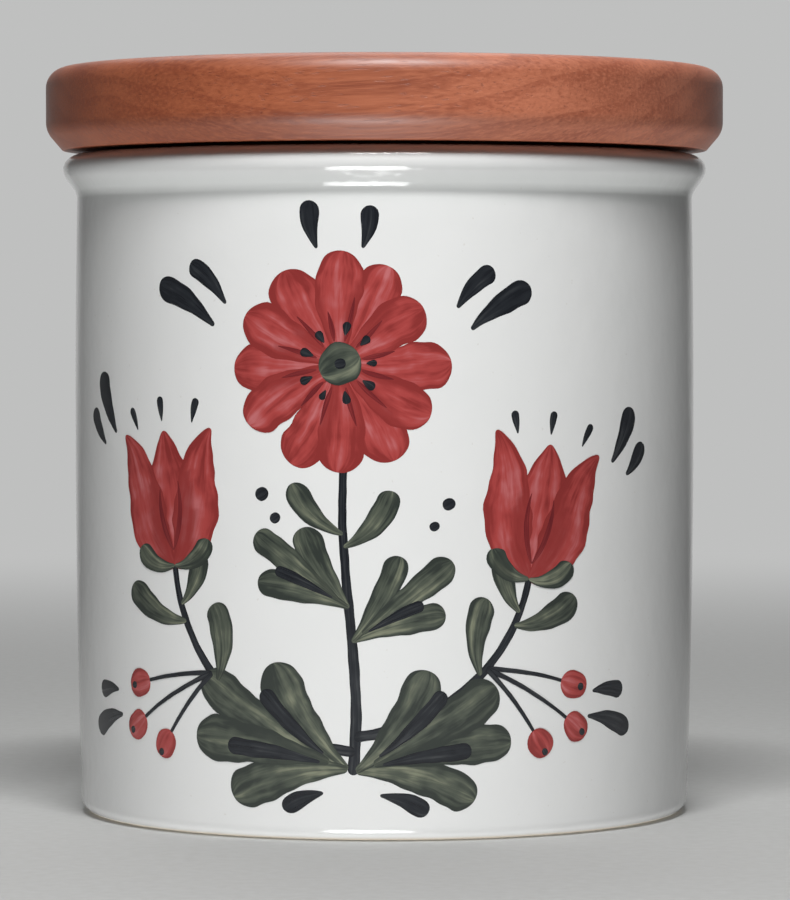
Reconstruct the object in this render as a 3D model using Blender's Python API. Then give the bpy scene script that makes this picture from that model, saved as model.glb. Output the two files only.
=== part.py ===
"""Spice jar: a glazed ceramic jar with a collar rim, and a turned wooden lid that seals in its mouth.

The jar stands on its foot ring at z = 0, on the axis x = y = 0. The lid and its seal ring lift off along +Z.
"""

import math

import bmesh
import bpy

# Jar wall and foot
JAR_HEIGHT = 0.0722
JAR_RADIUS = 0.0338  # outside, just under the collar
FOOT_DRAW_IN = 0.0004  # how much narrower the wall is at the foot
BELLY_SWELL = 0.0004  # how far the wall bulges beyond a straight taper
WALL = 0.0032
FLOOR = 0.0040
INNER_CORNER = 0.0040
FOOT_ROUND = 0.0016
FOOT_RING_WIDTH = 0.0030
FOOT_RECESS = 0.0012
FOOT_RECESS_SLOPE = 0.0008

# Collar round the mouth
COLLAR_FLARE = 0.0015
COLLAR_SWEEP = 0.0032  # height over which the wall runs out to the collar
RIM_ROUND_HEIGHT = 0.0018
RIM_ROUND_WIDTH = 0.0027
RIM_FULLNESS = 2.2  # 2 is an ellipse, and more keeps the rim's outside upright for longer
RIM_INNER_ROUND = 0.0012

# Lid
SEAT_GAP = 0.0003  # between the rim and the lid's underside
LID_THICKNESS = 0.0090
LID_OVERHANG = 0.0019  # beyond the collar's widest line
LID_TOP_ROUND = 0.0022
LID_CHAMFER_HEIGHT = 0.0021
LID_CHAMFER_WIDTH = 0.0018

# Plug under the lid, with the groove that holds the seal ring
PLUG_CLEARANCE = 0.0020
PLUG_SHOULDER = 0.0015  # above the groove
GROOVE_HEIGHT = 0.0050
GROOVE_DEPTH = 0.0014
PLUG_LIP = 0.0015  # below the groove
PLUG_CHAMFER = 0.0006

# Seal ring
SEAL_FIT = 0.0003  # between the ring and the groove
SEAL_CLEARANCE = 0.0003  # between the fins and the bore
SEAL_SLEEVE = 0.0010
FIN_COUNT = 3
FIN_ROOT = 0.0008
FIN_TIP = 0.0004

# Smoothness of the turned shapes
SEGMENTS = 72
WALL_STEPS = 6
SWEEP_STEPS = 6
ROUND_STEPS = 5
FULL_ROUND_STEPS = 8
SHARP_ANGLE = math.radians(35)

# What follows from the sizes above
FOOT_RADIUS = JAR_RADIUS - FOOT_DRAW_IN
BORE_RADIUS = JAR_RADIUS - WALL
COLLAR_RADIUS = JAR_RADIUS + COLLAR_FLARE
NECK_Z = JAR_HEIGHT - RIM_ROUND_HEIGHT - COLLAR_SWEEP
LID_RADIUS = COLLAR_RADIUS + LID_OVERHANG
LID_Z = JAR_HEIGHT + SEAT_GAP
PLUG_RADIUS = BORE_RADIUS - PLUG_CLEARANCE
GROOVE_RADIUS = PLUG_RADIUS - GROOVE_DEPTH
FIN_RADIUS = BORE_RADIUS - SEAL_CLEARANCE


def arc(centre, width, height, start, end, steps=ROUND_STEPS):
    """Points (radius, height) along an ellipse round centre, from one angle in degrees to another."""
    points = []
    for step in range(steps + 1):
        angle = math.radians(start + (end - start) * step / steps)
        points.append((centre[0] + width * math.cos(angle), centre[1] + height * math.sin(angle)))
    return points


def full_round(centre, width, height, fullness, steps=FULL_ROUND_STEPS):
    """Points (radius, height) on a quarter of a fuller ellipse, from its outermost point up to its top."""
    points = []
    for step in range(steps + 1):
        angle = math.pi / 2 * step / steps
        across = max(0.0, math.cos(angle)) ** (2 / fullness)
        up = math.sin(angle) ** (2 / fullness)
        points.append((centre[0] + width * across, centre[1] + height * up))
    return points


def sweep(start, end, steps=SWEEP_STEPS):
    """Points of an S-curve that leaves start and reaches end running straight up or down."""
    points = []
    for step in range(steps + 1):
        share = step / steps
        eased = (1 - math.cos(math.pi * share)) / 2
        points.append((start[0] + (end[0] - start[0]) * eased, start[1] + (end[1] - start[1]) * share))
    return points


def wall_points(inset):
    """The swelling wall from the foot's rounding to the neck, moved inwards by inset."""
    points = []
    for step in range(WALL_STEPS + 1):
        share = step / WALL_STEPS
        straight = FOOT_RADIUS + (JAR_RADIUS - FOOT_RADIUS) * share
        radius = straight + BELLY_SWELL * 4 * share * (1 - share)
        points.append((radius - inset, FOOT_ROUND + (NECK_Z - FOOT_ROUND) * share))
    return points


def without_repeats(points):
    """The same outline with each point that lies on the one before it left out."""
    kept = [points[0]]
    for point in points[1:]:
        if math.dist(point, kept[-1]) > 1e-6:
            kept.append(point)
    return kept


def jar_outline():
    """From the middle of the underside, out and up the outside, over the rim and down to the floor."""
    ring_outer = FOOT_RADIUS - FOOT_ROUND
    ring_inner = ring_outer - FOOT_RING_WIDTH
    rim_width = WALL + COLLAR_FLARE
    outer_round = min(RIM_ROUND_WIDTH, 0.6 * rim_width)
    inner_round = min(RIM_INNER_ROUND, 0.35 * rim_width)
    floor_z = FOOT_RECESS + FLOOR
    inner_wall = [point for point in reversed(wall_points(WALL)) if point[1] > floor_z + INNER_CORNER]
    floor_radius = FOOT_RADIUS - WALL
    underside = [(0, FOOT_RECESS), (ring_inner - FOOT_RECESS_SLOPE, FOOT_RECESS), (ring_inner, 0)]
    foot_edge = arc((ring_outer, FOOT_ROUND), FOOT_ROUND, FOOT_ROUND, -90, 0)
    collar = sweep((JAR_RADIUS, NECK_Z), (COLLAR_RADIUS, NECK_Z + COLLAR_SWEEP))
    rim_centre = (COLLAR_RADIUS - outer_round, JAR_HEIGHT - RIM_ROUND_HEIGHT)
    rim_outer = full_round(rim_centre, outer_round, RIM_ROUND_HEIGHT, RIM_FULLNESS)
    bore_centre = (BORE_RADIUS + inner_round, JAR_HEIGHT - inner_round)
    rim_inner = arc(bore_centre, inner_round, inner_round, 90, 180, 4)
    corner_centre = (floor_radius - INNER_CORNER, floor_z + INNER_CORNER)
    corner = arc(corner_centre, INNER_CORNER, INNER_CORNER, 0, -90)
    outside = underside + foot_edge + wall_points(0) + collar
    return without_repeats(outside + rim_outer + rim_inner + inner_wall + corner + [(0, floor_z)])


def lid_outline():
    """From the middle of the plug's underside to the middle of the lid's top, with the underside at 0."""
    plug_bottom = -(PLUG_SHOULDER + GROOVE_HEIGHT + PLUG_LIP)
    groove_bottom = -(PLUG_SHOULDER + GROOVE_HEIGHT)
    plug_end = [(0, plug_bottom), (PLUG_RADIUS - PLUG_CHAMFER, plug_bottom)]
    plug_lip = [(PLUG_RADIUS, plug_bottom + PLUG_CHAMFER), (PLUG_RADIUS, groove_bottom)]
    groove = [(GROOVE_RADIUS, groove_bottom), (GROOVE_RADIUS, -PLUG_SHOULDER)]
    shoulder = [(PLUG_RADIUS, -PLUG_SHOULDER), (PLUG_RADIUS, 0)]
    chamfer = [(LID_RADIUS - LID_CHAMFER_WIDTH, 0), (LID_RADIUS, LID_CHAMFER_HEIGHT)]
    edge_centre = (LID_RADIUS - LID_TOP_ROUND, LID_THICKNESS - LID_TOP_ROUND)
    top_edge = arc(edge_centre, LID_TOP_ROUND, LID_TOP_ROUND, 0, 90)
    plug = plug_end + plug_lip + groove + shoulder
    return without_repeats(plug + chamfer + top_edge + [(0, LID_THICKNESS)])


def seal_outline():
    """A closed outline round the sleeve and its fins, with the middle of the groove at 0."""
    inner = GROOVE_RADIUS + SEAL_FIT
    outer = inner + SEAL_SLEEVE
    height = GROOVE_HEIGHT - 2 * SEAL_FIT
    pitch = height / FIN_COUNT
    points = [(inner, -height / 2), (outer, -height / 2)]
    for fin in range(FIN_COUNT):
        middle = (fin + 0.5) * pitch - height / 2
        points.append((outer, middle - FIN_ROOT / 2))
        points.append((FIN_RADIUS, middle - FIN_TIP / 2))
        points.append((FIN_RADIUS, middle + FIN_TIP / 2))
        points.append((outer, middle + FIN_ROOT / 2))
    return points + [(outer, height / 2), (inner, height / 2)]


def finish_material(name, colour, roughness, coat=0.0):
    """A plain surface in the piece's own colour."""
    material = bpy.data.materials.new(name)
    material.use_nodes = True
    shader = material.node_tree.nodes["Principled BSDF"]
    shader.inputs["Base Color"].default_value = (*colour, 1)
    shader.inputs["Roughness"].default_value = roughness
    shader.inputs["Metallic"].default_value = 0.0
    shader.inputs["Coat Weight"].default_value = coat
    material.diffuse_color = (*colour, 1)
    return material


def turned(name, outline, material, closed=False):
    """An outline in the plane y = 0, spun once round the Z axis into one solid."""
    shape = bmesh.new()
    corners = [shape.verts.new((radius, 0, height)) for radius, height in outline]
    pairs = list(zip(corners, corners[1:]))
    if closed:
        pairs.append((corners[-1], corners[0]))
    sides = [shape.edges.new(pair) for pair in pairs]
    bmesh.ops.spin(
        shape,
        geom=corners + sides,
        cent=(0, 0, 0),
        axis=(0, 0, 1),
        angle=2 * math.pi,
        steps=SEGMENTS,
        use_merge=True,
    )
    bmesh.ops.remove_doubles(shape, verts=shape.verts, dist=1e-7)
    bmesh.ops.recalc_face_normals(shape, faces=shape.faces)
    mesh = bpy.data.meshes.new(name)
    shape.to_mesh(mesh)
    shape.free()
    mesh.shade_smooth()
    mesh.set_sharp_from_angle(angle=SHARP_ANGLE)
    mesh.materials.append(material)
    piece = bpy.data.objects.new(name, mesh)
    bpy.context.scene.collection.objects.link(piece)
    return piece


def clear_scene():
    """Removes every object that is in the scene at the start."""
    for thing in list(bpy.data.objects):
        bpy.data.objects.remove(thing, do_unlink=True)


def build():
    """The jar at the origin, the lid on its rim, and the seal ring in the groove of the lid's plug."""
    clear_scene()
    glaze = finish_material("glaze", (0.80, 0.80, 0.77), 0.12, 0.5)
    beech = finish_material("beech", (0.43, 0.16, 0.08), 0.45)
    silicone = finish_material("silicone", (0.72, 0.71, 0.67), 0.5)
    turned("jar", jar_outline(), glaze)
    lid = turned("lid", lid_outline(), beech)
    lid.location = (0, 0, LID_Z)
    seal_ring = turned("seal_ring", seal_outline(), silicone, closed=True)
    seal_ring.parent = lid
    seal_ring.location = (0, 0, -(PLUG_SHOULDER + GROOVE_HEIGHT / 2))


build()
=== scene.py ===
"""Looks of the spice jar: glazed ceramic with a painted flower spray, a beech lid and a soft seal ring.

Lengths are in metres. The painting alone is laid out in millimetres on the unrolled wall: across from the
middle of the front, positive to the right, and up from the foot.
"""

import math
import random

import bpy
import numpy as np
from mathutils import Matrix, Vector


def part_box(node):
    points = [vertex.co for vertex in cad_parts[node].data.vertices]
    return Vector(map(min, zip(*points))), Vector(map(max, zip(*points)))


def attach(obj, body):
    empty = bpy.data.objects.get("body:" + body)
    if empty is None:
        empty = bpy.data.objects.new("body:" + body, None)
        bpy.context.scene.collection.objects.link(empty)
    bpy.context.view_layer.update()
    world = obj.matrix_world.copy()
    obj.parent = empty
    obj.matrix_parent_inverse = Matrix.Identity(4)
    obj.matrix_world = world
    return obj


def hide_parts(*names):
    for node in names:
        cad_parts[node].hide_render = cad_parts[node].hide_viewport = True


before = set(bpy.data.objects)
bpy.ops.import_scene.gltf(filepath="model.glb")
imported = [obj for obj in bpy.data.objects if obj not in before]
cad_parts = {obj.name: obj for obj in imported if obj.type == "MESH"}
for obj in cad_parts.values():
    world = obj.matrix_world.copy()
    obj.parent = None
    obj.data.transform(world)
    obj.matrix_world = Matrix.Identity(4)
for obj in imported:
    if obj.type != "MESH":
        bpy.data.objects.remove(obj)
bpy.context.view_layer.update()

NEARLY_ZERO = 1e-6
MILLIMETRES = 1000  # in a metre

# Turned surfaces
SEGMENTS = 288
LONGEST_STEP = 0.0015  # along an outline
FINEST_TURN = math.radians(4)  # the most that an outline bends in one step
RING_TURN = math.radians(12)  # the same for the seal ring, which is small
CORNER_TURN = math.radians(25)  # an outline that turns more than this has a corner there
CORNER_STEPS = 4
CORNER_SHARE = 0.4  # the most of a straight run that the rounding of one corner takes
LONG_RUN = 2  # a run this many times as long as the next one keeps its own direction
EDGE_SOFTENING = 0.00015
JAR_EDGE_SOFTENING = 0.0004
LID_EDGE_SOFTENING = 0.0010  # at the lid's top
WAVER = 0.00004  # how far the cast wall strays from true
OVAL_SHARE = 0.7
OVAL_TURN = 0.7
RIPPLE_SHARE = 0.3
RIPPLE_TURN = -1.1
RIPPLE_LEAN = 60  # radians that the ripple turns per metre of height

# Glaze, with heights in millimetres
GLAZE_TINTS = ((0.79, 0.80, 0.79), (0.83, 0.835, 0.825))
# A darker, greener tint under the collar: partly glaze that pools in the crease, partly painted shade where
# the collar shades the neck.
POOL_AND_SHADE_STARTS = (65.4, 67.8)  # heights between which the glaze pooling and painted shade under the collar set in
POOL_AND_SHADE_ENDS = (70.0, 68.4)  # and between which both fade out again
POOL_AND_SHADE_SHARE = 0.45
POOL_AND_SHADE_COLOUR = (0.70, 0.73, 0.71)
SPECK_LEVELS = (0.765, 0.80)
SPECK_SHARE = 0.18
SPECK_COLOUR = (0.45, 0.40, 0.33)
BARE_HEIGHTS = (0.45, 0.12)  # glazed above the first, and bare clay below the second
CLAY_TINTS = ((0.62, 0.55, 0.45), (0.74, 0.68, 0.58))
GLOSS_ROUGHNESS = 0.07
CLAY_ROUGHNESS = 0.75
GLAZE_IOR = 1.5

# Brushed paint
STREAK_SCALE = (0.16, 2.6, 7.3)  # along a stroke, across it, and from one stroke to the next
CLOUD_SCALE = (0.35, 0.7, 3.1)
STREAK_SHARE = 0.75
CLOUD_SHARE = 0.45
EDGE_THICKNESS = 0.24
EDGE_FOCUS = 4.0  # more keeps it closer to the stroke's sides
HEAD_THICKNESS = 0.12
THICK_LEVELS = (0.55, 0.36)
THIN_LEVELS = (0.52, 0.76)
OVERLAP_SHARE = 0.72
PAINTS = {  # each as thick, usual and thin paint
    "red": ((0.262, 0.031, 0.029), (0.415, 0.060, 0.056), (0.54, 0.160, 0.165)),
    "deep red": ((0.14, 0.014, 0.018), (0.19, 0.020, 0.022), (0.26, 0.035, 0.035)),
    "green": ((0.032, 0.040, 0.034), (0.080, 0.094, 0.072), (0.230, 0.245, 0.170)),
    "black": ((0.010, 0.012, 0.016), (0.018, 0.021, 0.026), (0.050, 0.054, 0.058)),
}

# Beech, with lengths in millimetres
GRAIN_LEAN = (0.0, 0.045, 0.06)  # radians between the grain and X
TO_PITH = (0.0, -14.0, 22.0)  # added to a place, it counts from the middle of the tree
DRIFT_SCALE = (0.02, 0.07, 0.09)
RING_DRIFT = 7.0  # how far a growth ring strays from round
RING_SPACING = 2.7
LATE_STARTS = (0.35, 0.93)  # shares of a ring between which it darkens
LATE_ENDS = (1.0, 0.955)
FIBRE_SCALE = (0.10, 3.2, 3.2)
FLECK_SCALE = (0.36, 3.8, 3.8)
BROAD_SCALE = (0.025, 0.16, 0.2)
BROAD_LEVELS = (0.3, 0.7)
PALE_FIBRE_LEVELS = (0.46, 0.66)
DARK_FIBRE_LEVELS = (0.47, 0.30)
FLECK_LEVELS = (0.60, 0.74)
LATE_SHARE = 0.50
PALE_FIBRE_SHARE = 0.52
DARK_FIBRE_SHARE = 0.50
FLECK_SHARE = 0.42
END_GRAIN_SHARE = 0.45
END_GRAIN_FOCUS = 3.0  # more keeps it closer to where the grain points outwards
BEECH_TINTS = ((0.35, 0.096, 0.043), (0.47, 0.145, 0.069))
LATE_WOOD = (0.28, 0.063, 0.026)
PALE_FIBRE = (0.56, 0.185, 0.090)
DARK_FIBRE = (0.235, 0.054, 0.022)
FLECK_COLOUR = (0.20, 0.045, 0.019)
END_GRAIN = (0.21, 0.057, 0.028)
TONE_WAVES = 14.0  # how far the border between the two tones strays
TONE_PLACES = (-6.0, 36.0)  # across the lid, from the darker tone to the paler one
TONES = ((0.80, 0.69, 0.56), (1.18, 1.26, 1.42))
OIL_WEIGHT = 0.65
BEECH_IOR = 1.48

# Silicone
SILICONE_TINTS = ((0.66, 0.655, 0.61), (0.78, 0.775, 0.74))
SILICONE_DEPTH = (0.002, 0.0018, 0.0015)  # how deep red, green and blue light goes
SILICONE_CLEARNESS = 0.25

# Painting, in millimetres
HAND_SEED = 11
ROW_STEP = 0.32  # along a stroke
FEWEST_ROWS = 12
COLUMNS = 8  # across a stroke
SHELL_COLUMNS = COLUMNS + 3  # the points across its top and two on its underside
ACROSS, UP, TURN, LEFT, RIGHT, SHARE = range(6)  # what a stroke's row holds
SLOW_WOBBLE = 0.05
QUICK_WOBBLE = 0.03
FULL_WIDTH = 1.6  # a narrower stroke has a lower crown
PAINT_ROOT = -0.03  # a stroke's underside, below the glaze
PAINT_EDGE = 0.006
PAINT_CROWN = 0.004
LAYER_STEP = 0.006  # between a stroke and the ones that it crosses
OVERLAP_FADE = 0.25
SHELL_CORNER = math.radians(40)  # between a stroke's top and its sides
PETALS = 12  # an even number, painted in two rounds
EYE_DABS = 9
LOBE_TURN = 25  # degrees between the lobes of a leaf
DAISY_PLACE = (-4.6, 49.4)
TOUCHES = (  # the first comma's place, its heading, the side that the others are on, and the lengths
    ((-7.0, 61.4), 101, -1, (4.8,)),
    ((-2.2, 61.4), 79, 1, (4.8,)),
    ((-18.6, 53.4), 148, 1, (8.4, 6.0)),
    ((9.2, 53.0), 34, -1, (8.4, 6.0)),
    ((-33.6, 42.0), 118, -1, (7.0, 4.6)),
    ((26.6, 39.0), 60, 1, (7.0, 4.6)),
    ((-33.0, 12.0), 196, 1, (6.4, 4.4)),
    ((23.4, 12.4), -14, -1, (6.4, 4.4)),
    ((-6.4, 5.0), 200, 1, (5.0,)),
    ((-0.4, 4.8), -18, -1, (5.4,)),
)
DOTS = (  # across, up and size
    (-13.6, 35.6, 1.5),
    (-12.0, 33.2, 1.2),
    (6.2, 34.6, 1.4),
    (4.8, 32.4, 1.1),
)

# Studio
PALE = (0.78, 0.785, 0.78)
BACKDROP_LEVEL = 0.67
SIDE_LEVEL = 0.25  # of the backdrop as reflections show it, away from the part behind the object
BACKDROP_EDGES = (0.87, 0.985)  # cosines of the angles from straight behind at which its reflection fades
AMBIENT = 0.028
BACK_LIGHT = 1.0  # how strongly the backdrop lights the object's back
BACK_LIGHT_EDGES = (0.35, 0.90)  # cosines of the angles from straight behind at which that light fades
FLOOR_COLOUR = (0.50, 0.505, 0.50)
FLOOR_GRAIN = (0.43, 0.43, 0.42)
FLOOR_BOUNCE = (0.15, 0.15, 0.15)
FLOOR_GRAIN_SCALE = 700.0
FLOOR_ROUGHNESS = 0.85
FLOOR_GLOSS = 0.15
FLOOR_RADIUS = 5.0
FLOOR_SIDES = 128
FLOOR_DROP = 0.00005  # below the foot
FADE_START = 0.10
FADE_END = 0.55
LAMP_AIM = (0, -0.035, 0.040)
LOWER_AIM = (0, -0.035, 0.030)
UPPER_PLACE = (0.006, -0.196, 0.383)
UPPER_SIZE = (0.13, 0.045)
UPPER_POWER = 1.47
LOWER_PLACE = (-0.028, -0.237, -0.212)
LOWER_SIZE = (0.155, 0.150)
LOWER_POWER = 0.078
LOWER_SPREAD = 44  # degrees over which its grid lets light out
REAR_PLACE = (-0.05, 0.30, 0.50)
REAR_SIZE = (0.30, 0.30)
REAR_POWER = 0.65

# Camera
LENS = 186.7
SENSOR_WIDTH = 36
CAMERA_PLACE = (0.00116, -0.51515, 0.0550)
CAMERA_TILT = math.radians(88.285)


def outline_of(node):
    """The turned outline of a CAD node as points (radius, height), in order from its lowest inner end."""
    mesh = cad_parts[node].data
    places = {}
    for vertex in mesh.vertices:
        if abs(vertex.co.y) < NEARLY_ZERO and vertex.co.x > -NEARLY_ZERO:
            places[vertex.index] = (vertex.co.x, vertex.co.z)
    neighbours = {}
    for edge in mesh.edges:
        first, second = (places.get(index) for index in edge.vertices)
        if first and second and first != second:
            neighbours.setdefault(first, set()).add(second)
            neighbours.setdefault(second, set()).add(first)
    ends = [place for place, near in neighbours.items() if len(near) == 1]
    start = min(ends or neighbours, key=lambda place: (place[1], place[0]))
    path = [start, max(neighbours[start])]
    onward = [place for place in neighbours[path[-1]] if place != start]
    while onward and onward[0] != start:
        path.append(onward[0])
        onward = [place for place in neighbours[path[-1]] if place != path[-2]]
    if ends and path[0][0] > 0:
        path.insert(0, (0.0, path[0][1]))
    if ends and path[-1][0] > 0:
        path.append((0.0, path[-1][1]))
    return [Vector(place) for place in path], not ends


def softened(points, closed, reach):
    """The outline with each sharp corner rounded; reach(corner) says how far back the rounding starts."""
    result = []
    count = len(points)
    for index, here in enumerate(points):
        incoming = here - points[index - 1]
        outgoing = points[(index + 1) % count] - here
        at_end = not closed and index in (0, count - 1)
        if at_end or incoming.angle(outgoing) < CORNER_TURN:
            result.append(here)
            continue
        start = here - incoming.normalized() * min(reach(here), CORNER_SHARE * incoming.length)
        end = here + outgoing.normalized() * min(reach(here), CORNER_SHARE * outgoing.length)
        for step in range(CORNER_STEPS + 1):
            share = step / CORNER_STEPS
            first = start.lerp(here, share)
            second = here.lerp(end, share)
            result.append(first.lerp(second, share))
    return result


def direction_at(points, index, closed):
    """The outline's direction at one of its points; a long straight run keeps its own direction."""
    incoming = points[index] - points[index - 1]
    outgoing = points[(index + 1) % len(points)] - points[index]
    if not closed and index == 0:
        return outgoing.normalized()
    if not closed and index == len(points) - 1:
        return incoming.normalized()
    if incoming.length > LONG_RUN * outgoing.length:
        return incoming.normalized()
    if outgoing.length > LONG_RUN * incoming.length:
        return outgoing.normalized()
    return (incoming.normalized() + outgoing.normalized()).normalized()


def refined(points, closed, finest=FINEST_TURN):
    """The outline as a smooth curve through its points, with short steps where it bends."""
    count = len(points)
    directions = [direction_at(points, index, closed) for index in range(count)]
    result = []
    for index in range(count if closed else count - 1):
        start = points[index]
        end = points[(index + 1) % count]
        first = directions[index]
        second = directions[(index + 1) % count]
        length = (end - start).length
        steps = max(1, math.ceil(length / LONGEST_STEP), math.ceil(first.angle(second) / finest))
        for step in range(steps):
            share = step / steps
            blend = share * share * (3 - 2 * share)
            leave = share * (1 - share) ** 2 * length
            arrive = share * share * (1 - share) * length
            result.append(start.lerp(end, blend) + first * leave - second * arrive)
    return result if closed else result + [points[-1]]


def turned(name, outline, closed, place):
    """Points (radius, height) spun once round the Z axis, each moved by place(radius, height, angle)."""
    vertices = []
    rings = []
    for radius, height in outline:
        on_axis = radius < NEARLY_ZERO
        count = 1 if on_axis else SEGMENTS
        rings.append([len(vertices) + step for step in range(count)] * (SEGMENTS if on_axis else 1))
        for step in range(count):
            angle = 2 * math.pi * step / SEGMENTS
            moved, lifted = place(radius, height, angle)
            vertices.append((moved * math.cos(angle), moved * math.sin(angle), lifted))
    faces = []
    pairs = list(zip(rings, rings[1:]))
    if closed:
        pairs.append((rings[-1], rings[0]))
    for lower, upper in pairs:
        for step in range(SEGMENTS):
            after = (step + 1) % SEGMENTS
            corners = (lower[step], lower[after], upper[after], upper[step])
            faces.append(tuple(dict.fromkeys(corners)))
    return new_piece(name, vertices, faces)


def new_piece(name, vertices, faces):
    """A smooth-shaded mesh object in the scene."""
    mesh = bpy.data.meshes.new(name)
    mesh.from_pydata(vertices, [], faces)
    mesh.update()
    mesh.shade_smooth()
    piece = bpy.data.objects.new(name, mesh)
    bpy.context.scene.collection.objects.link(piece)
    return piece


def straight(radius, height, angle):
    """A true turned surface."""
    return radius, height


def waver(height, angle):
    """How far the cast wall stands out from true: an oval, and a finer ripple that leans as it rises."""
    oval = math.sin(2 * angle + OVAL_TURN)
    ripple = math.sin(3 * angle + RIPPLE_TURN + height * RIPPLE_LEAN)
    return WAVER * (OVAL_SHARE * oval + RIPPLE_SHARE * ripple)


def cast(radius, height, angle):
    """A turned surface with the slight wavering of a slip casting."""
    return radius + waver(height, angle) * radius / WALL_RADII[-1], height


def outer_run(outline):
    """The heights and radii of the jar's outside, from the foot up to its widest line."""
    widest = max(range(len(outline)), key=lambda index: outline[index].x)
    run = [outline[widest]]
    for point in reversed(outline[:widest]):
        if point.y >= run[-1].y:
            break
        run.append(point)
    run.reverse()
    return [point.y for point in run], [point.x for point in run]


jar_points, jar_closed = outline_of("jar")
JAR_LINE = refined(softened(jar_points, jar_closed, lambda corner: JAR_EDGE_SOFTENING), jar_closed)
WALL_HEIGHTS, WALL_RADII = outer_run(JAR_LINE)
WALL_RADIUS = float(np.interp(WALL_HEIGHTS[-1] / 2, WALL_HEIGHTS, WALL_RADII))


def feed(tree, socket, value):
    """Sets a socket to a number or colour, or joins it to another node's output."""
    if isinstance(value, bpy.types.NodeSocket):
        tree.links.new(value, socket)
    else:
        socket.default_value = value


def add(tree, kind, sockets=None, **settings):
    """A new node with its settings and its input sockets, which are given by name or number."""
    node = tree.nodes.new(kind)
    for name, value in settings.items():
        setattr(node, name, value)
    for name, value in (sockets or {}).items():
        feed(tree, node.inputs[name], value)
    return node


def calculate(tree, operation, first, second=0.0, third=0.0):
    """The result of a sum, product or other operation on numbers."""
    sockets = {0: first, 1: second, 2: third}
    return add(tree, "ShaderNodeMath", sockets, operation=operation).outputs[0]


def varied(tree, value, least, span):
    """A number that runs from least, where value is 0, to span more, where value is 1."""
    return calculate(tree, "MULTIPLY_ADD", value, span, least)


def with_vectors(tree, operation, first, second):
    """The result of an operation on two vectors, part by part."""
    return add(tree, "ShaderNodeVectorMath", {0: first, 1: second}, operation=operation).outputs[0]


def stretched(tree, vector, scale):
    """A vector whose parts are multiplied by the parts of scale."""
    return with_vectors(tree, "MULTIPLY", vector, scale)


def length_of(tree, vector):
    """A vector's length."""
    return add(tree, "ShaderNodeVectorMath", {0: vector}, operation="LENGTH").outputs["Value"]


def part_of(tree, vector, index):
    """One part of a vector, by its number."""
    return add(tree, "ShaderNodeSeparateXYZ", {0: vector}).outputs[index]


def stored(tree, name, output="Fac"):
    """A value that each vertex of the mesh holds."""
    return add(tree, "ShaderNodeAttribute", attribute_name=name).outputs[output]


def cloudy(tree, vector, scale=1.0, detail=2.0, roughness=0.5, distortion=0.0):
    """Smooth noise from 0 to 1."""
    sockets = {"Vector": vector, "Scale": scale, "Detail": detail, "Roughness": roughness}
    sockets["Distortion"] = distortion
    return add(tree, "ShaderNodeTexNoise", sockets).outputs[0]


def eased(tree, value, low, high, most=1.0):
    """A value eased from 0 at low to most at high."""
    sockets = {"Value": value, "From Min": low, "From Max": high, "To Max": most}
    return add(tree, "ShaderNodeMapRange", sockets, interpolation_type="SMOOTHSTEP").outputs[0]


def blended(tree, share, first, second, mode="MIX"):
    """Two colours mixed by a share."""
    node = add(tree, "ShaderNodeMix", data_type="RGBA", blend_type=mode)
    feed(tree, node.inputs[0], share)
    feed(tree, node.inputs[6], first if isinstance(first, bpy.types.NodeSocket) else (*first, 1))
    feed(tree, node.inputs[7], second if isinstance(second, bpy.types.NodeSocket) else (*second, 1))
    return node.outputs[2]


def new_material(name):
    """A material with its node tree and its Principled shader."""
    material = bpy.data.materials.new(name)
    material.use_nodes = True
    return material, material.node_tree, material.node_tree.nodes["Principled BSDF"]


def millimetres(tree):
    """The place on the object in its own frame, in millimetres."""
    place = add(tree, "ShaderNodeTexCoord").outputs["Object"]
    return stretched(tree, place, (MILLIMETRES, MILLIMETRES, MILLIMETRES))


def bumped(tree, height, distance, strength=1.0):
    """A normal bent by a height map whose full range is distance metres."""
    sockets = {"Height": height, "Distance": distance, "Strength": strength}
    return add(tree, "ShaderNodeBump", sockets).outputs[0]


def glaze_material():
    """White gloss glaze that pools and carries painted shade under the collar, and is worn off the ring that
    the jar stands on.
    """
    material, tree, shader = new_material("glaze")
    place = millimetres(tree)
    height = part_of(tree, place, 2)
    mottle = cloudy(tree, place, scale=0.12, detail=3.0)
    colour = blended(tree, mottle, *GLAZE_TINTS)
    # Under the collar the glaze darkens: partly glaze that pools in the crease, partly painted shade where
    # the collar shades the neck.
    pooled_and_shaded = calculate(tree, "MULTIPLY", eased(tree, height, *POOL_AND_SHADE_STARTS), eased(tree, height, *POOL_AND_SHADE_ENDS))
    colour = blended(tree, calculate(tree, "MULTIPLY", pooled_and_shaded, POOL_AND_SHADE_SHARE), colour, POOL_AND_SHADE_COLOUR)
    speck = eased(tree, cloudy(tree, place, scale=1.9, detail=1.0), *SPECK_LEVELS, most=SPECK_SHARE)
    colour = blended(tree, speck, colour, SPECK_COLOUR)
    bare = eased(tree, height, *BARE_HEIGHTS)
    grain = cloudy(tree, place, scale=4.0, detail=4.0)
    feed(tree, shader.inputs["Base Color"], blended(tree, bare, colour, blended(tree, grain, *CLAY_TINTS)))
    gloss = varied(tree, mottle, least=GLOSS_ROUGHNESS, span=0.04)
    rough = calculate(tree, "MAXIMUM", gloss, calculate(tree, "MULTIPLY", bare, CLAY_ROUGHNESS))
    feed(tree, shader.inputs["Roughness"], rough)
    skin = calculate(tree, "ADD", cloudy(tree, place, scale=0.35), calculate(tree, "MULTIPLY", bare, grain))
    feed(tree, shader.inputs["Normal"], bumped(tree, skin, distance=0.00006))
    shader.inputs["IOR"].default_value = GLAZE_IOR
    return material


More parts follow.
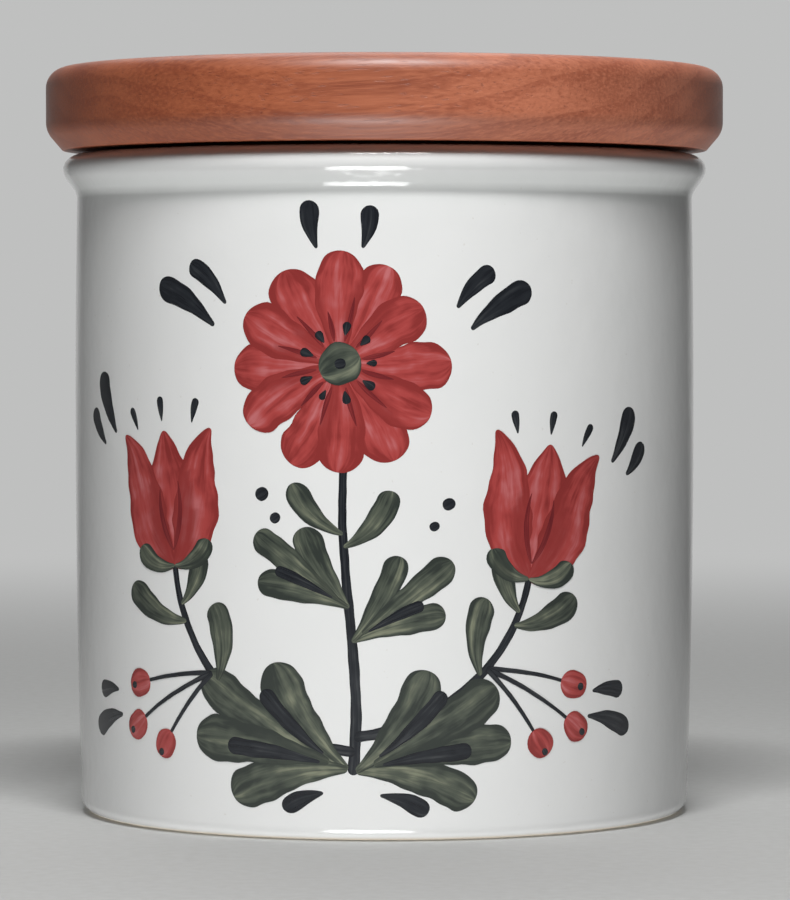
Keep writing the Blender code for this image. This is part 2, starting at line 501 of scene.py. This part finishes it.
def paint_thinness(tree, streaks, across, stroke):
    """How thinly the paint lies: by its streaks and clouds, and less at a stroke's sides and its head."""
    clouds = calculate(tree, "MULTIPLY", cloudy(tree, stretched(tree, stroke, CLOUD_SCALE)), CLOUD_SHARE)
    thinness = calculate(tree, "MULTIPLY_ADD", streaks, STREAK_SHARE, clouds)
    edge = calculate(tree, "POWER", calculate(tree, "ABSOLUTE", across), EDGE_FOCUS)
    thinness = calculate(tree, "SUBTRACT", thinness, calculate(tree, "MULTIPLY", edge, EDGE_THICKNESS))
    head = calculate(tree, "MULTIPLY", stored(tree, "head"), HEAD_THICKNESS)
    return calculate(tree, "SUBTRACT", thinness, head)


def paint_material(name, thick, body, thin):
    """Brushed colour under the glaze: streaked along the stroke, darker at its edges and on overlaps."""
    material, tree, shader = new_material(name)
    stroke = stored(tree, "stroke", "Vector")
    scaled = stretched(tree, stroke, STREAK_SCALE)
    streaks = cloudy(tree, scaled, detail=3.0, roughness=0.55, distortion=0.3)
    thinness = paint_thinness(tree, streaks, part_of(tree, stroke, 1), stroke)
    colour = blended(tree, eased(tree, thinness, *THICK_LEVELS), body, thick)
    colour = blended(tree, eased(tree, thinness, *THIN_LEVELS), colour, thin)
    overlap = calculate(tree, "MULTIPLY", stored(tree, "overlap"), OVERLAP_SHARE)
    feed(tree, shader.inputs["Base Color"], blended(tree, overlap, colour, thick))
    feed(tree, shader.inputs["Roughness"], varied(tree, streaks, least=GLOSS_ROUGHNESS, span=0.06))
    feed(tree, shader.inputs["Normal"], bumped(tree, streaks, distance=0.00002))
    shader.inputs["IOR"].default_value = GLAZE_IOR
    return material


def late_wood(tree, grain):
    """How much of each place is the dark late wood at the end of a growth ring."""
    drift = calculate(tree, "MULTIPLY", cloudy(tree, stretched(tree, grain, DRIFT_SCALE)), RING_DRIFT)
    across_grain = stretched(tree, with_vectors(tree, "ADD", grain, TO_PITH), (0.0, 1.0, 1.0))
    depth = calculate(tree, "ADD", length_of(tree, across_grain), drift)
    season = calculate(tree, "FRACT", calculate(tree, "DIVIDE", depth, RING_SPACING))
    return calculate(tree, "MULTIPLY", eased(tree, season, *LATE_STARTS), eased(tree, season, *LATE_ENDS))


def beech_colour(tree, place, late, broad, fibres, fleck):
    """Brown beech: rings, fibres, flecks and darker end grain, and a slow change of tone across the lid."""
    facing = part_of(tree, add(tree, "ShaderNodeTexCoord").outputs["Normal"], 0)
    end_grain = calculate(tree, "POWER", calculate(tree, "ABSOLUTE", facing), END_GRAIN_FOCUS)
    pale_fibre = eased(tree, fibres, *PALE_FIBRE_LEVELS, most=PALE_FIBRE_SHARE)
    dark_fibre = eased(tree, fibres, *DARK_FIBRE_LEVELS, most=DARK_FIBRE_SHARE)
    colour = blended(tree, eased(tree, broad, *BROAD_LEVELS), *BEECH_TINTS)
    colour = blended(tree, calculate(tree, "MULTIPLY", late, LATE_SHARE), colour, LATE_WOOD)
    colour = blended(tree, pale_fibre, colour, PALE_FIBRE)
    colour = blended(tree, dark_fibre, colour, DARK_FIBRE)
    colour = blended(tree, calculate(tree, "MULTIPLY", fleck, FLECK_SHARE), colour, FLECK_COLOUR)
    colour = blended(tree, calculate(tree, "MULTIPLY", end_grain, END_GRAIN_SHARE), colour, END_GRAIN)
    across = calculate(tree, "MULTIPLY_ADD", broad, TONE_WAVES, part_of(tree, place, 0))
    tone = blended(tree, eased(tree, across, *TONE_PLACES), *TONES)
    return blended(tree, 1.0, colour, tone, "MULTIPLY")


def beech_material():
    """Oiled beech with its grain along X: soft growth rings, fine fibres and short dark flecks."""
    material, tree, shader = new_material("beech")
    place = millimetres(tree)
    sockets = {"Vector": place, "Rotation": GRAIN_LEAN}
    grain = add(tree, "ShaderNodeVectorRotate", sockets, rotation_type="EULER_XYZ").outputs[0]
    broad = cloudy(tree, stretched(tree, grain, BROAD_SCALE))
    fibres = cloudy(tree, stretched(tree, grain, FIBRE_SCALE), detail=4.0, roughness=0.62)
    fleck = eased(tree, cloudy(tree, stretched(tree, grain, FLECK_SCALE)), *FLECK_LEVELS)
    colour = beech_colour(tree, place, late_wood(tree, grain), broad, fibres, fleck)
    feed(tree, shader.inputs["Base Color"], colour)
    feed(tree, shader.inputs["Roughness"], varied(tree, fibres, least=0.38, span=0.25))
    shader.inputs["Coat Weight"].default_value = OIL_WEIGHT
    feed(tree, shader.inputs["Coat Roughness"], varied(tree, fibres, least=0.32, span=0.20))
    relief = calculate(tree, "SUBTRACT", fibres, calculate(tree, "MULTIPLY", fleck, 0.6))
    feed(tree, shader.inputs["Normal"], bumped(tree, relief, distance=0.00008, strength=0.6))
    shader.inputs["IOR"].default_value = BEECH_IOR
    return material


def silicone_material():
    """Cloudy white silicone with a faint bloom."""
    material, tree, shader = new_material("silicone")
    place = millimetres(tree)
    cloud = cloudy(tree, place, scale=0.5, detail=3.0)
    feed(tree, shader.inputs["Base Color"], blended(tree, cloud, *SILICONE_TINTS))
    bloom = varied(tree, cloudy(tree, place, scale=2.5, detail=3.0), least=0.36, span=0.2)
    feed(tree, shader.inputs["Roughness"], bloom)
    shader.inputs["Subsurface Weight"].default_value = SILICONE_CLEARNESS
    shader.inputs["Subsurface Radius"].default_value = SILICONE_DEPTH
    feed(tree, shader.inputs["Normal"], bumped(tree, cloudy(tree, place, scale=6.0), distance=0.00003))
    return material


def swelling(share, root, full_at, softness):
    """A stroke's width that grows from root to full, which it is from full_at onwards."""
    return root + (1 - root) * math.sin(math.pi / 2 * min(share / full_at, 1)) ** softness


def comma(share):
    """Thin at the root, with a full head."""
    return swelling(share, root=0.16, full_at=0.82, softness=1.1)


def petal(share):
    """A teardrop: narrow at the root and broad towards the tip."""
    return swelling(share, root=0.30, full_at=0.72, softness=1.2)


def blade(share):
    """Fullest below the middle and drawn out to a point."""
    thinnest = 0.05
    return thinnest + (1 - thinnest) * math.sin(math.pi * share ** 0.8) ** 0.8


def thinning(share):
    """A line that thins a little towards its end."""
    return 1 - 0.35 * share


def dot(share):
    """A round touch of the brush."""
    return 1.0


def cap(distance, radius):
    """How much of its width a stroke has at a distance from a round end."""
    if distance >= radius:
        return 1.0
    return math.sqrt(max(0.0, 1 - (1 - distance / radius) ** 2))


def uneven(slow, quick):
    """The wobble of one side of a stroke, as a share of its width, at two angles of its waves."""
    return 1 + SLOW_WOBBLE * math.sin(slow) + QUICK_WOBBLE * math.sin(quick)


def brushed(colour, root, headings, length, width, form):
    """One stroke of the brush from root; headings are its directions at the start, between and at the end.

    A heading is in degrees, from 0 to the right to 90 straight up. The stroke's rows hold the places along
    its middle line, its direction, its half-widths on both sides and the share of its length that is done.
    """
    count = max(FEWEST_ROWS, round(length / ROW_STEP))
    first, last = headings[0], headings[-1]
    pull = headings[1] if len(headings) == 3 else (first + last) / 2
    seed = chance.uniform(0, 50)
    middle = []
    place = Vector(root)
    before = 0.0
    for row in range(count + 1):
        share = (1 - math.cos(math.pi * row / count)) / 2
        halfway = (before + share) / 2
        heading = (1 - halfway) ** 2 * first + 2 * halfway * (1 - halfway) * pull + halfway ** 2 * last
        turn = math.radians(heading)
        place = place + Vector((math.cos(turn), math.sin(turn))) * length * (share - before)
        before = share
        half = form(share) * width / 2
        half *= cap(share * length, form(0) * width / 2) * cap((1 - share) * length, form(1) * width / 2)
        gone = share * length
        left = half * uneven(gone * 0.9 + seed, gone * 2.3 + 3 * seed)
        right = half * uneven(gone * 1.1 + 2 * seed, gone * 2.7 + seed)
        middle.append((place.x, place.y, turn, left, right, share))
    rows = np.array(middle)
    stroke = {"colour": colour, "rows": rows, "length": length, "layer": layer_above(rows), "seed": seed}
    painting.append(stroke)
    return stroke


def distances(points, rows):
    """How far each point (across, up) is from the middle of each row of a stroke."""
    return np.hypot(points[:, None, ACROSS] - rows[None, :, ACROSS], points[:, None, UP] - rows[None, :, UP])


def layer_above(rows):
    """The lowest layer in which a stroke lies clear above every earlier one that it crosses."""
    halves = rows[:, [LEFT, RIGHT]].max(axis=1)
    layer = 0
    for stroke in painting:
        earlier = stroke["rows"]
        touching = halves[:, None] + earlier[:, [LEFT, RIGHT]].max(axis=1)[None, :]
        if (distances(rows, earlier) < touching).any():
            layer = max(layer, stroke["layer"] + 1)
    return layer


def by_hand(value, spread=0.07):
    """A size as a hand meets it, a little more or less than was meant."""
    return value * chance.uniform(1 - spread, 1 + spread)


def beside(place, heading, distance):
    """The point at a distance from a place, at a heading in degrees."""
    turn = math.radians(heading)
    return (place[0] + distance * math.cos(turn), place[1] + distance * math.sin(turn))


def along(stroke, share):
    """The place and the heading at a share of a stroke's length."""
    row = min(stroke["rows"], key=lambda found: abs(found[SHARE] - share))
    return (float(row[ACROSS]), float(row[UP])), math.degrees(row[TURN])


def draw_eye(centre):
    """A daisy's green eye, with dark dabs round it and one in its middle."""
    brushed("green", beside(centre, 205, 2.2), (25, 25), length=4.5, width=4.4, form=dot)
    for index in range(EYE_DABS):
        heading = 360 / EYE_DABS * index + chance.uniform(-6, 6)
        size = by_hand(0.85, 0.2)
        start = beside(centre, heading, by_hand(2.9))
        brushed("black", start, (heading, heading), length=1.5 * size, width=size, form=comma)
    brushed("black", beside(centre, 180, 0.5), (10, 10), length=1.2, width=1.1, form=dot)


def draw_daisy(centre):
    """A round flower whose petals have a fine dark line between them."""
    step = 360 / PETALS
    for index in (*range(0, PETALS, 2), *range(1, PETALS, 2)):
        heading = step * index + chance.uniform(-4, 4)
        curl = chance.uniform(-14, 14)
        sway = (heading - curl, heading + curl)
        start = beside(centre, heading, 1.2)
        brushed("red", start, sway, length=by_hand(10.0), width=by_hand(5.0, 0.05), form=petal)
    for index in range(PETALS):
        heading = step * (index + 0.5) + chance.uniform(-3, 3)
        start = beside(centre, heading, 2.4)
        sway = (heading - 4, heading + 4)
        brushed("deep red", start, sway, length=by_hand(4.0, 0.2), width=0.5, form=blade)
    draw_eye(centre)


def draw_tulip(root, heading):
    """Three petals that open from a stem's end, over three fine filaments and under two small sepals."""
    for turn in (-15, 1, 16):
        place = beside(root, heading + turn, 15.2)
        sway = (heading + turn, heading + 1.6 * turn)
        brushed("black", place, sway, length=by_hand(2.6), width=0.9, form=comma)
    brushed("red", root, (heading - 4, heading + 5), length=14.2, width=7.0, form=blade)
    for side in (1, -1):
        sway = (heading + 62 * side, heading - 34 * side, heading + 46 * side)
        brushed("red", root, sway, length=by_hand(16.0, 0.03), width=by_hand(5.6, 0.04), form=blade)
    for side in (1, -1):
        sway = (heading + 30 * side, heading - 8 * side)
        brushed("deep red", beside(root, heading, 1.6), sway, length=by_hand(7.0), width=0.6, form=blade)
        sway = (heading + 100 * side, heading + 26 * side)
        brushed("green", root, sway, length=by_hand(5.6), width=by_hand(2.2), form=comma)


def draw_leaf(stem, share, side, length, width):
    """A leaf of one stroke that leaves a stem and bends back along it; side 1 is the stem's left."""
    root, heading = along(stem, share)
    sway = (heading + side * by_hand(66), heading + side * by_hand(18))
    brushed("green", root, sway, by_hand(length), by_hand(width), comma)


def draw_spray(root, heading, length, lobes, accents):
    """A broad leaf of several strokes that fan out from its root, with dark strokes laid between them."""
    middle = (lobes - 1) / 2
    for away in sorted((index - middle for index in range(lobes)), key=abs, reverse=True):
        start = beside(root, heading, 0.11 * length * (middle - abs(away)))
        turn = away * LOBE_TURN
        reach = by_hand(length * (0.92 - 0.13 * abs(away)), 0.05)
        sway = (heading + 0.45 * turn, heading + 1.35 * turn)
        brushed("green", start, sway, length=reach, width=by_hand(0.235 * length), form=comma)
    for away in accents:
        turn = away * LOBE_TURN
        start = beside(root, heading + 0.5 * turn, 0.16 * length)
        sway = (heading + 0.6 * turn, heading + 1.3 * turn)
        brushed("black", start, sway, length=by_hand(0.52 * length), width=0.095 * length, form=comma)


def draw_berries(stem, share, side):
    """Three berries on fine stalks."""
    root, heading = along(stem, share)
    for turn, length in ((58, 9.4), (78, 11.4), (99, 9.0)):
        out = heading + side * turn
        stalk = brushed("stem", root, (out - 8 * side, out + 5 * side), length, width=0.55, form=thinning)
        place, out = along(stalk, 1.0)
        start = beside(place, out, -0.4)
        brushed("red", start, (out, out), length=by_hand(3.3), width=by_hand(3.1), form=dot)
        brushed("black", beside(place, out, 1.9), (out, out), length=0.8, width=0.75, form=dot)


def draw_touches(root, heading, side, lengths):
    """A group of dark commas side by side, each shorter than the one before."""
    for index, length in enumerate(lengths):
        place = beside(root, heading - 90 * side, 2.7 * index)
        lean = heading - 13 * side * index
        sway = (lean - 12 * side, lean + 16 * side)
        brushed("black", place, sway, by_hand(length), by_hand(1.0 + 0.2 * length), comma)


def draw_stem(root, headings, length, width=1.15):
    """A stem, which the leaves and flowers leave from."""
    return brushed("stem", root, headings, length, width, thinning)


def draw_painting():
    """The whole spray, from its stems to the loose touches round it."""
    middle = draw_stem((-3.3, 6.9), (82, 108, 84), length=32.8, width=1.25)
    left = draw_stem((-3.0, 9.3), (176, 141, 96), length=30.6)
    right = draw_stem((-3.1, 10.8), (8, 36, 79), length=26.5)
    draw_spray((-3.8, 7.5), heading=160, length=19.0, lobes=4, accents=(-1, 0.5))
    draw_spray((-2.9, 7.3), heading=20, length=18.0, lobes=4, accents=(-0.5, 1))
    draw_spray(along(middle, 0.53)[0], heading=143, length=12.5, lobes=3, accents=(0.5,))
    draw_spray(along(middle, 0.43)[0], heading=38, length=12.5, lobes=3, accents=(-0.5,))
    draw_leaf(middle, share=0.76, side=1, length=8.0, width=2.7)
    draw_leaf(middle, share=0.72, side=-1, length=8.4, width=2.8)
    for stem, side in ((left, 1), (right, -1)):
        draw_berries(stem, share=0.60, side=side)
        draw_leaf(stem, share=0.56, side=-side, length=8.6, width=3.0)
        draw_leaf(stem, share=0.80, side=side, length=8.6, width=3.0)
        draw_leaf(stem, share=0.86, side=-side, length=6.4, width=2.5)
        draw_tulip(*along(stem, 1.0))
    draw_daisy(DAISY_PLACE)
    for root, heading, side, lengths in TOUCHES:
        draw_touches(root, heading, side, lengths)
    for across, up, size in DOTS:
        brushed("black", (across, up), (30, 30), length=size, width=size * 0.9, form=dot)


def overlap_of(points, earlier):
    """From 0 to 1, how surely each point (across, up) lies on a stroke that was painted earlier."""
    found = np.zeros(len(points))
    for stroke in earlier:
        rows = stroke["rows"]
        halves = rows[:, [LEFT, RIGHT]].min(axis=1)
        depth = np.max(halves[None, :] - distances(points, rows), axis=1)
        found = np.maximum(found, np.clip(depth / OVERLAP_FADE, 0, 1))
    return found


def on_wall(across, up, lift):
    """The point on the jar's wall for a place on the unrolled wall, lifted off the glaze by lift."""
    height = up / MILLIMETRES
    angle = across / MILLIMETRES / WALL_RADIUS - math.pi / 2
    radius = float(np.interp(height, WALL_HEIGHTS, WALL_RADII))
    radius += waver(height, angle) * radius / WALL_RADII[-1] + lift / MILLIMETRES
    return (radius * math.cos(angle), radius * math.sin(angle), height)


def section_of(stroke, row):
    """One row across a stroke as points (across, up, lift, side, share), from one underside to the other."""
    across, up, turn, left, right, share = row
    thickness = min(1.0, (left + right) / FULL_WIDTH)
    base = PAINT_EDGE + LAYER_STEP * stroke["layer"]
    top = []
    for column in range(COLUMNS + 1):
        side = 2 * column / COLUMNS - 1
        reach = side * (right if side > 0 else left)
        lift = base + PAINT_CROWN * (1 - side * side) * thickness
        top.append((across + reach * math.sin(turn), up - reach * math.cos(turn), lift, side, share))
    first, last = (point[:2] + (PAINT_ROOT,) + point[3:] for point in (top[0], top[-1]))
    return [first, *top, last]


def shell_of(stroke, start):
    """A stroke as a closed shell: its points, as section_of gives them, and its faces, counted from start."""
    rows = stroke["rows"]
    points = []
    for row in rows[1:-1]:
        points.extend(section_of(stroke, row))
    last_ring = start + len(points) - SHELL_COLUMNS
    faces = []
    for here in range(start, last_ring, SHELL_COLUMNS):
        for column in range(SHELL_COLUMNS):
            after = (column + 1) % SHELL_COLUMNS
            there = here + SHELL_COLUMNS
            faces.append((here + column, here + after, there + after, there + column))
    tip_lift = (PAINT_EDGE + LAYER_STEP * stroke["layer"]) / 2
    for row, ring, way in ((rows[0], start, -1), (rows[-1], last_ring, 1)):
        tip = start + len(points)
        points.append((row[ACROSS], row[UP], tip_lift, 0.0, row[SHARE]))
        for column in range(SHELL_COLUMNS):
            corners = (ring + column, ring + (column + 1) % SHELL_COLUMNS)
            faces.append((*corners[::way], tip))
    return points, faces


def paint(name, colour, material):
    """All strokes of one colour as closed shells that stand a hair proud of the glaze."""
    strokes = [stroke for stroke in painting if stroke["colour"] == colour]
    vertices = []
    faces = []
    stroke_values = []
    overlaps = []
    heads = []
    for index, stroke in enumerate(strokes):
        points, sides = shell_of(stroke, len(vertices))
        faces.extend(sides)
        for across, up, lift, side, share in points:
            vertices.append(on_wall(across, up, lift))
            stroke_values.append((share * stroke["length"], side, stroke["seed"]))
            heads.append(share)
        overlaps.extend(overlap_of(np.array(points), strokes[:index]))
    piece = new_piece(name, vertices, faces)
    piece.data.set_sharp_from_angle(angle=SHELL_CORNER)
    add_values(piece, "stroke", "FLOAT_VECTOR", "vector", stroke_values)
    add_values(piece, "overlap", "FLOAT", "value", overlaps)
    add_values(piece, "head", "FLOAT", "value", heads)
    piece.data.materials.append(material)
    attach(piece, "jar")


def add_values(piece, name, kind, field, values):
    """Stores a value at each vertex, for the material to read."""
    layer = piece.data.attributes.new(name, kind, "POINT")
    layer.data.foreach_set(field, np.array(values, dtype=np.float32).ravel())


def make_jar():
    """The glazed body, with soft edges and a faint waver."""
    piece = turned("glazed_jar", JAR_LINE, jar_closed, cast)
    piece.data.materials.append(glaze_material())
    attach(piece, "jar")
    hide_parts("jar")


def make_lid():
    """The turned lid with its plug."""
    points, closed = outline_of("lid")
    low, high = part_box("lid")
    middle = (low.z + high.z) / 2

    def reach(corner):
        return LID_EDGE_SOFTENING if corner.y > middle + EDGE_SOFTENING else EDGE_SOFTENING

    piece = turned("beech_lid", refined(softened(points, closed, reach), closed), closed, straight)
    piece.data.materials.append(beech_material())
    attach(piece, "lid")
    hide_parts("lid")


def make_seal_ring():
    """The finned ring round the plug."""
    points, closed = outline_of("seal_ring")
    soft = softened(points, closed, lambda corner: EDGE_SOFTENING)
    piece = turned("silicone_seal_ring", refined(soft, closed, RING_TURN), closed, straight)
    piece.data.materials.append(silicone_material())
    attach(piece, "lid")
    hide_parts("seal_ring")


def make_painting():
    """The flower spray, colour by colour from the stems up."""
    draw_painting()
    red = paint_material("paint_red", *PAINTS["red"])
    deep = paint_material("paint_deep_red", *PAINTS["deep red"])
    green = paint_material("paint_green", *PAINTS["green"])
    black = paint_material("paint_black", *PAINTS["black"])
    paint("painted_stems", "stem", black)
    paint("painted_leaves", "green", green)
    paint("painted_petals", "red", red)
    paint("painted_petal_lines", "deep red", deep)
    paint("painted_accents", "black", black)


def seen_directly(tree):
    """1 for rays that show the background: from the camera, in a reflection or through something clear."""
    path = add(tree, "ShaderNodeLightPath").outputs
    either = calculate(tree, "MAXIMUM", path["Is Camera Ray"], path["Is Glossy Ray"])
    return calculate(tree, "MAXIMUM", either, path["Is Transmission Ray"])


def shown_level(tree, behind):
    """How bright the backdrop shows: full to the camera, and darker at its sides in a reflection.

    behind is the cosine of the angle between a direction and the one straight behind the object.
    """
    least = SIDE_LEVEL * BACKDROP_LEVEL
    near = eased(tree, behind, *BACKDROP_EDGES)
    level = calculate(tree, "MULTIPLY_ADD", near, BACKDROP_LEVEL - least, least)
    to_camera = add(tree, "ShaderNodeLightPath").outputs["Is Camera Ray"]
    return calculate(tree, "MAXIMUM", level, calculate(tree, "MULTIPLY", to_camera, BACKDROP_LEVEL))


def floor_material():
    """Pale and finely grained, and fading with distance into the backdrop's own brightness."""
    material, tree, shader = new_material("floor")
    place = add(tree, "ShaderNodeTexCoord").outputs["Object"]
    distance = length_of(tree, place)
    far = calculate(tree, "MULTIPLY", eased(tree, distance, FADE_START, FADE_END), seen_directly(tree))
    shown = blended(tree, cloudy(tree, place, FLOOR_GRAIN_SCALE), FLOOR_COLOUR, FLOOR_GRAIN)
    feed(tree, shader.inputs["Base Color"], blended(tree, seen_directly(tree), FLOOR_BOUNCE, shown))
    shader.inputs["Roughness"].default_value = FLOOR_ROUGHNESS
    shader.inputs["Specular IOR Level"].default_value = FLOOR_GLOSS
    behind = calculate(tree, "DIVIDE", part_of(tree, place, 1), distance)
    glow = add(tree, "ShaderNodeEmission", {"Color": (*PALE, 1), "Strength": shown_level(tree, behind)})
    mixed = add(tree, "ShaderNodeMixShader", {0: far, 1: shader.outputs[0], 2: glow.outputs[0]})
    feed(tree, tree.nodes["Material Output"].inputs["Surface"], mixed.outputs[0])
    return material


def make_floor():
    """A pale floor that keeps the object's shadow."""
    place = (0, 0, -FLOOR_DROP)
    bpy.ops.mesh.primitive_circle_add(
        vertices=FLOOR_SIDES,
        radius=FLOOR_RADIUS,
        fill_type="NGON",
        location=place,
    )
    floor = bpy.context.object
    floor.name = "floor"
    floor.data.materials.append(floor_material())
    return floor


def make_world():
    """A pale backdrop that lights the object's back softly; reflections show it darker at its sides."""
    world = bpy.data.worlds.new("backdrop")
    bpy.context.scene.world = world
    world.use_nodes = True
    tree = world.node_tree
    background = tree.nodes["Background"]
    background.inputs["Color"].default_value = (*PALE, 1)
    direction = add(tree, "ShaderNodeTexCoord").outputs["Generated"]
    behind = part_of(tree, direction, 1)
    lit = eased(tree, behind, *BACK_LIGHT_EDGES)
    given = calculate(tree, "MULTIPLY_ADD", lit, BACK_LIGHT - AMBIENT, AMBIENT)
    extra = calculate(tree, "SUBTRACT", shown_level(tree, behind), given)
    level = calculate(tree, "MULTIPLY_ADD", seen_directly(tree), extra, given)
    feed(tree, background.inputs["Strength"], level)


def make_lamp(name, place, aim, size, power, spread=180):
    """A soft box at a place, turned to face aim; its size is its width and its height."""
    data = bpy.data.lights.new(name, "AREA")
    data.shape = "RECTANGLE"
    data.size = size[0]
    data.size_y = size[1]
    data.energy = power
    data.spread = math.radians(spread)
    lamp = bpy.data.objects.new(name, data)
    bpy.context.scene.collection.objects.link(lamp)
    lamp.location = place
    lamp.rotation_euler = (Vector(place) - Vector(aim)).to_track_quat("Z", "Y").to_euler()
    lamp.visible_camera = False
    return lamp


def make_lamps(floor):
    """Soft boxes above and below the jar's front, and one above and behind it; the floor lets one through."""
    make_lamp("upper_softbox", UPPER_PLACE, LAMP_AIM, UPPER_SIZE, UPPER_POWER)
    below = make_lamp("lower_softbox", LOWER_PLACE, LOWER_AIM, LOWER_SIZE, LOWER_POWER, LOWER_SPREAD)
    make_lamp("rear_softbox", REAR_PLACE, LAMP_AIM, REAR_SIZE, REAR_POWER)
    clear = bpy.data.collections.new("lets_light_through")
    clear.objects.link(floor)
    for entry in clear.collection_objects:
        entry.light_linking.link_state = "EXCLUDE"
    below.light_linking.blocker_collection = clear


def make_camera():
    """The view of the front from half a metre away, from a little below the collar, tilted slightly down."""
    data = bpy.data.cameras.new("camera")
    data.lens = LENS
    data.sensor_width = SENSOR_WIDTH
    camera = bpy.data.objects.new("camera", data)
    bpy.context.scene.collection.objects.link(camera)
    camera.location = CAMERA_PLACE
    camera.rotation_euler = (CAMERA_TILT, 0, 0)
    bpy.context.scene.camera = camera


chance = random.Random(HAND_SEED)
painting = []

make_jar()
make_lid()
make_seal_ring()
make_painting()
make_world()
make_lamps(make_floor())
make_camera()
bpy.context.scene.view_settings.view_transform = "Standard"
